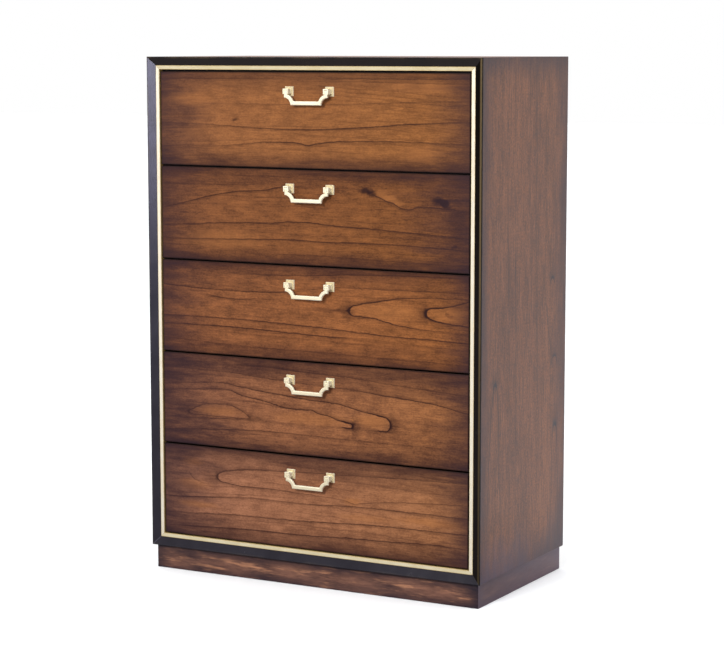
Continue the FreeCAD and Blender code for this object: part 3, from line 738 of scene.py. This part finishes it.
def plywood(name, wood, grain, layers, seed, nailed=None):
    """A thin sheet: long grain on its faces and plies along its edges.

    layers is the axis through its thickness. nailed is the node that is nailed on.
    """
    g = Finish(name)
    light, dark = wood
    coarse = stretch_along(grain, 1.8, 30.0)
    rings = g.noise(coarse, (seed, 0.0, 0.0), detail=4.0, roughness=0.6, distortion=0.5)
    fibre = g.noise(stretch_along(grain, 22.0, 560.0))
    colour = g.mix(g.remap(rings, 0.35, 0.68), srgb(*dark), srgb(*light))
    depth = (g.x, g.y, g.z)[layers]
    plies = g.remap(g.math("PINGPONG", depth, PLY), 0.5 * MM, 1.0 * MM)
    on_edge = g.facing(layers, 0.3, 0.6, 1.0, 0.0, normal="True Normal")
    colour = g.mix(g.times(plies, on_edge), colour, dimmed(dark, 0.6))
    colour = g.mix(g.remap(fibre, 0.42, 0.75, 0.0, 0.25), colour, dimmed(dark, 0.7))
    rough = g.remap(fibre, 0.3, 0.7, 0.5, 0.66)
    relief = fibre
    if nailed:
        gap = nail_heads(g, nailed)
        colour = g.mix(g.remap(gap, 2.4 * MM, 4.4 * MM, 0.7, 0.0), colour, srgb(44, 34, 28))
        colour = g.mix(g.remap(gap, 2.0 * MM, 2.3 * MM, 1.0, 0.0), colour, srgb(150, 146, 138))
        relief = g.math("ADD", g.remap(gap, 1.6 * MM, 2.6 * MM, 0.0, -4.0), fibre)
    return g.done(colour, rough, relief, 0.06 * MM, Specular_IOR_Level=0.25)


def under_skin(g, kind, low, high):
    """1 in the plain wood below a case board's veneer, 0 in the veneer."""
    if kind == "bottom":
        return 1.0
    if kind == "left":
        return g.remap(g.x, low.x + VENEER_SKIN, low.x + 2 * VENEER_SKIN)
    place, face = (g.x, high.x) if kind == "right" else (g.z, high.z)
    return g.remap(place, face - 2 * VENEER_SKIN, face - VENEER_SKIN, 1.0, 0.0)


def veneer(kind):
    """Case board, left, right, top or bottom: burnished veneer outside, with a painted violet sheen
    on the sides' burnished foot, plain wood inside.
    """
    g = Finish("veneer_" + kind)
    upright = kind in ("left", "right")
    low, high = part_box("left_side_panel")[0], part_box("right_side_panel")[1]
    seed = VENEER_SEEDS[kind]

    def noise(across_scale, along_scale, offset, **settings):
        if upright:
            return g.noise((0.0, across_scale, along_scale), offset, **settings)
        return g.noise((along_scale, across_scale, 0.0), offset, **settings)

    along, across = (g.z if upright else g.x), g.y
    waver = noise(60.0, 22.0, (seed, 0.0, seed), detail=4.0, roughness=0.6)
    figured = g.shifted(across, waver, 6 * MM)
    if kind == "left":
        figured = g.math("MULTIPLY_ADD", figured, -1.0, LEFT_FIGURE_SHIFT)
    run = along if upright else g.math("ADD", along, TOP_FIGURE_SHIFT)
    lines = growth_lines(g, run, figured, SIDE_SPAN, SIDE_REACH, SIDE_LINES, SIDE_TONGUES)
    marks = knots(g, run, figured, SIDE_SPOTS)
    cloud = noise(5.0, 2.0, (seed, seed, 0.0))
    mottle = noise(34.0, 7.0, (seed, 0.0, seed), detail=7.0, roughness=0.72)
    dashes = noise(170.0, 11.0, (seed, 0.0, 3.0), detail=5.0, roughness=0.7)
    streak = noise(420.0, 46.0, (0.0, seed, 0.0), detail=4.0, roughness=0.66)
    fleck = noise(260.0, 200.0, (0.0, seed, 0.0), detail=3.0, roughness=0.7)
    tone = g.weigh((cloud, 0.9), (mottle, 1.7), (streak, 2.6), (fleck, 2.8))
    colour = g.mix(tone, srgb(82, 46, 27), srgb(146, 89, 53))
    colour = g.mix(g.remap(dashes, 0.54, 0.64, 0.0, 0.66), colour, srgb(58, 34, 31))
    colour = g.mix(g.remap(dashes, 0.45, 0.33, 0.0, 0.6), colour, srgb(156, 101, 68))
    marked = g.math("MAXIMUM", lines, g.times(marks, 0.8), clamp=True)
    colour = g.mix(marked, colour, srgb(42, 28, 28))

    ragged = noise(14.0, 5.0, (seed, 0.0, 0.0), detail=5.0, roughness=0.65)
    wander = g.math("MULTIPLY_ADD", ragged, 1.4, -0.7)
    from_front, from_back = g.inward(across, low.y, high.y)
    edges = [(from_front, 62 * MM, 0.95), (from_back, 92 * MM, 0.92)]
    if upright:
        edges.append((g.minus(high.z, along), 70 * MM, 0.85))
    else:
        edges += [(end, 60 * MM, 0.75) for end in g.inward(along, low.x, high.x)]
    colour = g.mix(darkened_edges(g, edges, wander), colour, srgb(50, 30, 38))
    # The sides' burnished foot, coloured with a painted violet sheen that is lighter towards the
    # front
    if upright:
        foot = darkened_edges(g, [(g.minus(along, low.z), 120 * MM, 0.95)], wander)
        foot_sheen_tone = g.mix(g.remap(g.y, -0.2, 0.2), srgb(84, 76, 96), srgb(60, 46, 54))
        colour = g.mix(foot, colour, foot_sheen_tone)
    raw = g.mix(streak, srgb(126, 94, 66), srgb(150, 116, 84))
    colour = g.mix(under_skin(g, kind, low, high), colour, raw)
    rough = g.remap(streak, 0.3, 0.75, 0.4, 0.52)
    return g.done(colour, rough, streak, 0.05 * MM, Specular_IOR_Level=0.4)


def plinth_wood(name, sideways):
    """Recessed base: the same burnished wood, dark along all its edges; along the top that
    darkening is painted shadow under the case's overhang.
    """
    g = Finish(name)
    low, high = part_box("plinth_left")[0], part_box("plinth_right")[1]
    seed = 21.0 if sideways else 17.0
    dark, light, edge, gleam = (srgb(*tone) for tone in PLINTH_TONES[name])

    def noise(along_scale, up_scale, offset, **settings):
        if sideways:
            return g.noise((0.0, along_scale, up_scale), offset, **settings)
        return g.noise((along_scale, 0.0, up_scale), offset, **settings)

    mottle = noise(10.0, 50.0, (seed, 0.0, 0.0), detail=6.0, roughness=0.68)
    streak = noise(36.0, 420.0, (seed, 0.0, 0.0), detail=3.0)
    patches = noise(9.0, 70.0, (seed, seed, 1.0), detail=5.0, roughness=0.6)
    colour = g.mix(g.weigh((mottle, 2.4), (streak, 0.8)), dark, light)
    colour = g.mix(g.remap(patches, 0.52, 0.66, 0.0, 0.8), colour, gleam)
    ragged = g.noise((8.0, 8.0, 30.0), (seed, 0.0, 0.0), detail=4.0, roughness=0.6)
    wander = g.minus(ragged, 0.55)
    ends = g.inward(g.y, low.y, high.y) if sideways else g.inward(g.x, low.x, high.x)
    edges = [
        (ends[0], 60 * MM, 0.9),
        (ends[1], 42 * MM, 0.9),
        (g.z, 42 * MM, 0.94),
        # Painted shadow of the case's overhang along the top edge
        (g.minus(high.z, g.z), 46 * MM, 1.0),
    ]
    colour = g.mix(darkened_edges(g, edges, wander), colour, edge)
    rough = g.remap(streak, 0.3, 0.75, 0.4, 0.52)
    return g.done(colour, rough, streak, 0.05 * MM, Specular_IOR_Level=0.35)


# ------------------------------------------------------------------ lacquer and metal
def rim_depths(g, rim):
    """How far in from a mitred rim's sides, and from its top or bottom."""
    low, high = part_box(rim + "_left")[0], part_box(rim + "_right")[1]
    from_side = g.minus(high.x, g.math("ABSOLUTE", g.x))
    return from_side, g.math("MINIMUM", *g.inward(g.z, low.z, high.z))


def mitre_line(g, depths, width):
    """1 along the four corner joints of a mitred rim, 0 beside them."""
    gap = g.math("ABSOLUTE", g.minus(*depths))
    return g.remap(gap, 0.25 * width, width, 1.0, 0.0)


def black_lacquer(name, warm, cool, gloss, glint, glint_width):
    """Lacquer with a painted reflection tint, cool near the floor and warm at the top, and a
    painted highlight along the outer arris.
    """
    g = Finish(name)
    cloud = g.noise((14.0, 14.0, 14.0), detail=4.0, roughness=0.6)
    grit = g.noise((700.0, 700.0, 700.0))
    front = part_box("frame_moulding_top")[0].y
    # Painted highlight along the outer arris: patchy, weaker low down, and left off the side
    # returns
    arris_glint = g.remap(g.y, front + 0.4 * glint_width, front + glint_width, 1.0, 0.0)
    arris_glint = g.times(arris_glint, g.remap(cloud, 0.42, 0.66, 1.4 * glint - 0.4, 1.0))
    arris_glint = g.math("MULTIPLY", arris_glint, g.remap(g.z, 0.1, 0.9, 0.35, 1.0), clamp=True)
    arris_glint = g.times(arris_glint, g.facing(X, 0.5, 0.75, 1.0, 0.0))
    warm, cool = (g.mix(cloud, srgb(*dark), srgb(*light)) for dark, light in (warm, cool))
    # Painted reflection tint: cool violet low down, warm at the top
    colour = g.mix(g.remap(g.z, 0.5, 1.25), cool, warm)
    colour = g.mix(g.times(arris_glint, glint), colour, srgb(96, 80, 55))
    wear_and_shading = g.remap(g.z, 0.1, 0.3, 0.6, 0.05)
    joint = mitre_line(g, rim_depths(g, "frame_moulding"), 0.8 * MM)
    joint = g.times(joint, g.remap(cloud, 0.35, 0.6, 0.2, 1.0))
    colour = g.mix(g.times(joint, wear_and_shading), colour, srgb(130, 126, 142))
    rough = g.remap(cloud, 0.3, 0.7, 0.2, 0.28)
    return g.done(colour, rough, grit, 0.02 * MM, Specular_IOR_Level=gloss)


def brass(name, tones, brushed, roughness, metal, wear_and_shading):
    """Satin brass; brushed is the axis of its fine lines, or None for cast metal.

    wear_and_shading changes the plain colour: dark joints, painted shade and painted light.
    """
    g = Finish(name)
    light, dark = tones
    cloud = g.noise((18.0, 18.0, 18.0), detail=4.0, roughness=0.6)
    fine = g.noise(stretch_along(brushed, 12.0, 900.0))
    colour = g.mix(g.remap(cloud, 0.3, 0.7), srgb(*dark), srgb(*light))
    colour = g.mix(g.remap(fine, 0.5, 0.8, 0.0, 0.25), colour, dimmed(dark, 0.8))
    rough = g.remap(fine, 0.3, 0.7, roughness - 0.05, roughness + 0.08)
    return g.done(wear_and_shading(g, colour), rough, fine, 0.012 * MM, Metallic=metal)


def trim_shade_and_joints(g, colour):
    """The trim: painted shade behind its face, where it lines the gaps, golden painted shade along
    the face's rounded edges, and dark at its mitres.
    """
    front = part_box("brass_trim_top")[0].y
    # Painted shade on the trim's return behind its face, which lines the gaps
    colour = g.mix(g.remap(g.y, front + 2 * MM, front + 5 * MM), colour, srgb(52, 40, 24))
    depths = rim_depths(g, "brass_trim")
    half = TRIM_FACE / 2
    off_middle = g.math("ABSOLUTE", g.minus(g.math("MINIMUM", *depths), half))
    # Painted shade, golden, along the rounded edges of the trim's face
    rim = g.remap(off_middle, half - 1.7 * MM, half - 0.5 * MM, 0.0, 0.7)
    colour = g.mix(rim, colour, srgb(206, 168, 92))
    return g.mix(g.times(mitre_line(g, depths, 0.6 * MM), 0.55), colour, srgb(96, 74, 38))


def cast_shade_and_light(g, colour):
    """The pulls: darker near the floor, with painted light on their side faces and painted shade on
    the fronts of the square plates.
    """
    low_down = g.remap(g.z, 0.2, 1.1, 1.0, 0.0)
    colour = g.mix(low_down, colour, dimmed(CAST_BRASS[1], 0.9))
    # Painted light: side faces as bright as the lit fronts
    forward = g.facing(Y, 0.55, 0.85)
    colour = g.mix(forward, srgb(255, 249, 222), colour)
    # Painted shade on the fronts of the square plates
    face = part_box("drawer_1_front")[0].y - PLATE_REACH
    plate = g.remap(g.y, face - 0.2 * MM, face + 0.2 * MM)
    return g.mix(g.times(plate, forward), colour, srgb(210, 192, 147))


def steel():
    g = Finish("screw_steel")
    cloud = g.noise((260.0, 260.0, 260.0), detail=3.0)
    colour = g.mix(cloud, srgb(150, 148, 140), srgb(190, 188, 180))
    rough = g.remap(cloud, 0.3, 0.7, 0.28, 0.42)
    return g.done(colour, rough, cloud, 0.02 * MM, Metallic=1.0)


def finish_nodes():
    """Gives every CAD node its material."""
    by_node = {
        "left_side_panel": veneer("left"),
        "right_side_panel": veneer("right"),
        "top_panel": veneer("top"),
        "bottom_panel": veneer("bottom"),
        "back_panel": plywood("back_plywood", BACK_SHEET, Z, Y, 3.0, "back_panel"),
        "web_frames": plain_wood(
            "frame_poplar", POPLAR, Y, crossed=(rails_mask, X), gap_shaded="web_frames"
        ),
        "centre_guides": plain_wood("guide_maple", MAPLE, Y, 0.42, 0.4, 4.0),
        "plinth_corner_blocks": plain_wood("block_poplar", POPLAR, Z, seed=6.0),
    }
    fore = plinth_wood("plinth_long", False)
    aside = plinth_wood("plinth_short", True)
    by_node.update(plinth_front=fore, plinth_back=fore, plinth_left=aside, plinth_right=aside)

    lacquer = black_lacquer("black_lacquer", *LACQUER, 0.4, 0.3, 1.5 * MM)
    # The right moulding's lacquer: painted shade, with a stronger painted highlight along its arris
    shaded = black_lacquer("black_lacquer_right_painted_shade", *SHADED_LACQUER, 0.05, 1.0, 2.6 * MM)
    for side in ("left", "right", "top", "bottom"):
        by_node["frame_moulding_" + side] = shaded if side == "right" else lacquer

    # Lit and shaded copies of the trim's brass, painted light by where each member lies
    across = brass("brass_trim_across", ACROSS_BRASS_SHADED, X, 0.32, 0.3, trim_shade_and_joints)
    upper = brass("brass_trim_upper", UPPER_BRASS_SHADED, X, 0.32, 0.3, trim_shade_and_joints)
    upright = brass("brass_trim_upright", UPRIGHT_BRASS_LIT, Z, 0.32, 0.4, trim_shade_and_joints)
    by_node.update(brass_trim_top=upper, brass_trim_bottom=across)
    by_node.update(brass_trim_left=upright, brass_trim_right=upright)

    box_side = plain_wood("drawer_maple_side", MAPLE, Y, 0.45, 0.35)
    box_back = plain_wood("drawer_maple_back", MAPLE, X, 0.45, 0.35, 2.0)
    bottom = plywood("drawer_plywood", DRAWER_SHEET, X, Z, 8.0)
    cast = brass("pull_brass", CAST_BRASS, None, 0.5, 0.25, cast_shade_and_light)
    for number in DRAWERS:
        named = f"drawer_{number}_"
        by_node[named + "front"] = drawer_face(number)
        by_node[named + "back"] = box_back
        by_node[named + "bottom"] = bottom
        for part in ("left_side", "right_side", "guide"):
            by_node[named + part] = box_side
        for part in ("pull_posts", "bail"):
            by_node[named + part] = cast

    for name, material in by_node.items():
        slots = NODES[name].data.materials
        slots.clear()
        slots.append(material)


# ------------------------------------------------------------------ extra pieces
def placed(name, mesh, material):
    """An object in the scene, made from a bmesh, which it frees."""
    data = bpy.data.meshes.new(name)
    mesh.to_mesh(data)
    mesh.free()
    data.materials.append(material)
    made = bpy.data.objects.new(name, data)
    bpy.context.scene.collection.objects.link(made)
    return made


def screw_pair(number, material):
    """Two pan-head screws inside a drawer front, behind the pull's posts."""
    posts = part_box(f"drawer_{number}_pull_posts")
    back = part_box(f"drawer_{number}_front")[1].y
    height = (posts[0].z + posts[1].z) / 2
    mesh = bmesh.new()
    for place in (-POST_FROM_MIDDLE, POST_FROM_MIDDLE):
        rings = []
        for radius, rise in SCREW_OUTLINE:
            ring = []
            for step in range(SCREW_TURNS):
                angle = math.tau * step / SCREW_TURNS
                across = radius * math.cos(angle)
                up = radius * math.sin(angle)
                slotted = radius < SLOT_REACH and min(abs(across), abs(up)) < SLOT_HALF
                depth = rise - SLOT_DEPTH if slotted else rise
                corner = (place + across * MM, back + depth * MM, height + up * MM)
                ring.append(mesh.verts.new(corner))
            rings.append(ring)
        middle = mesh.verts.new((place, back + SLOT_FLOOR * MM, height))
        for step in range(SCREW_TURNS):
            following = (step + 1) % SCREW_TURNS
            mesh.faces.new((middle, rings[0][step], rings[0][following]))
            for inner, outer in zip(rings, rings[1:]):
                mesh.faces.new((inner[step], outer[step], outer[following], inner[following]))
        mesh.faces.new(rings[-1])
    bmesh.ops.recalc_face_normals(mesh, faces=mesh.faces)
    screws = placed(f"drawer_{number}_pull_screws", mesh, material)
    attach(screws, f"drawer_{number}")


def soften(name):
    """Small rounded edges on a CAD node, as a sanded board has."""
    node = NODES[name]
    weld = node.modifiers.new("weld", "WELD")
    weld.merge_threshold = 0.01 * MM
    bevel = node.modifiers.new("bevel", "BEVEL")
    bevel.width = SANDED_EDGE
    bevel.segments = 2
    bevel.limit_method = "ANGLE"
    bevel.angle_limit = math.radians(40)
    bevel.harden_normals = True


# ------------------------------------------------------------------ stage
def stage():
    """Pale floor. Bounced light and reflections see it darker before the chest."""
    g = Finish("pale_floor")
    cloud = g.noise((3.0, 3.0, 3.0), detail=3.0)
    white = g.mix(cloud, srgb(243, 243, 243), srgb(250, 250, 250))
    around = g.mix(g.remap(g.y, -0.3, 0.7), srgb(120, 121, 124), srgb(235, 236, 240))
    seen = g.node("ShaderNodeLightPath").outputs["Is Camera Ray"]
    pale = g.done(g.mix(seen, around, white), 0.7, Specular_IOR_Level=0.0)
    mesh = bmesh.new()
    bmesh.ops.create_grid(mesh, x_segments=1, y_segments=1, size=FLOOR_HALF)
    floor = placed("floor", mesh, pale)


def studio():
    """Light from overhead and behind; the camera sees plain white past the floor."""
    world = bpy.data.worlds.new("studio")
    bpy.context.scene.world = world
    g = Graph(world, "Generated")
    horizon = g.remap(g.y, -0.1, 0.55, FRONT_LEVEL, BACK_LEVEL)
    level = g.remap(g.z, 0.72, 0.9, horizon, ZENITH_LEVEL)
    lit = g.node("ShaderNodeBackground")
    g.feed(lit.inputs["Color"], (*LAMP_WHITE, 1.0))
    g.feed(lit.inputs["Strength"], g.times(level, STUDIO_STRENGTH))
    plain = g.node("ShaderNodeBackground")
    g.feed(plain.inputs["Color"], (1.0, 1.0, 1.0, 1.0))
    seen = g.node("ShaderNodeLightPath").outputs["Is Camera Ray"]
    both = g.fed(g.node("ShaderNodeMixShader"), seen, lit.outputs[0], plain.outputs[0])
    g.feed(g.node("ShaderNodeOutputWorld").inputs["Surface"], both)


def softbox(name, place, aim, width, height, power, tint, mirrored_only):
    """A rectangular lamp that the camera does not see."""
    light = bpy.data.lights.new(name, "AREA")
    light.shape = "RECTANGLE"
    light.size = width
    light.size_y = height
    light.energy = power
    light.color = tint
    lamp = bpy.data.objects.new(name, light)
    lamp.location = place
    lamp.rotation_euler = (Vector(aim) - Vector(place)).to_track_quat("-Z", "Y").to_euler()
    lamp.visible_camera = False
    lamp.visible_diffuse = not mirrored_only
    bpy.context.scene.collection.objects.link(lamp)


def camera():
    """Camera at the eye point and heading of the view that the chest is shown from."""
    data = bpy.data.cameras.new("camera")
    data.sensor_width = SENSOR_WIDTH
    data.lens = LENS
    made = bpy.data.objects.new("camera", data)
    made.location = EYE
    yaw, pitch, roll = (math.radians(angle) for angle in (YAW, PITCH, ROLL))
    turn = Matrix.Rotation(yaw, 3, "Z") @ Matrix.Rotation(math.pi / 2 - pitch, 3, "X")
    made.rotation_euler = (turn @ Matrix.Rotation(roll, 3, "Z")).to_euler()
    bpy.context.scene.collection.objects.link(made)
    bpy.context.scene.camera = made


# ------------------------------------------------------------------ build
finish_nodes()
metal = steel()
for number in DRAWERS:
    screw_pair(number, metal)
for board in ("left_side_panel", "right_side_panel", "top_panel", "bottom_panel"):
    soften(board)
for side in ("front", "back", "left", "right"):
    soften("plinth_" + side)
stage()
studio()
for lamp in LAMPS:
    softbox(*lamp)
camera()
bpy.context.scene.view_settings.view_transform = "Standard"
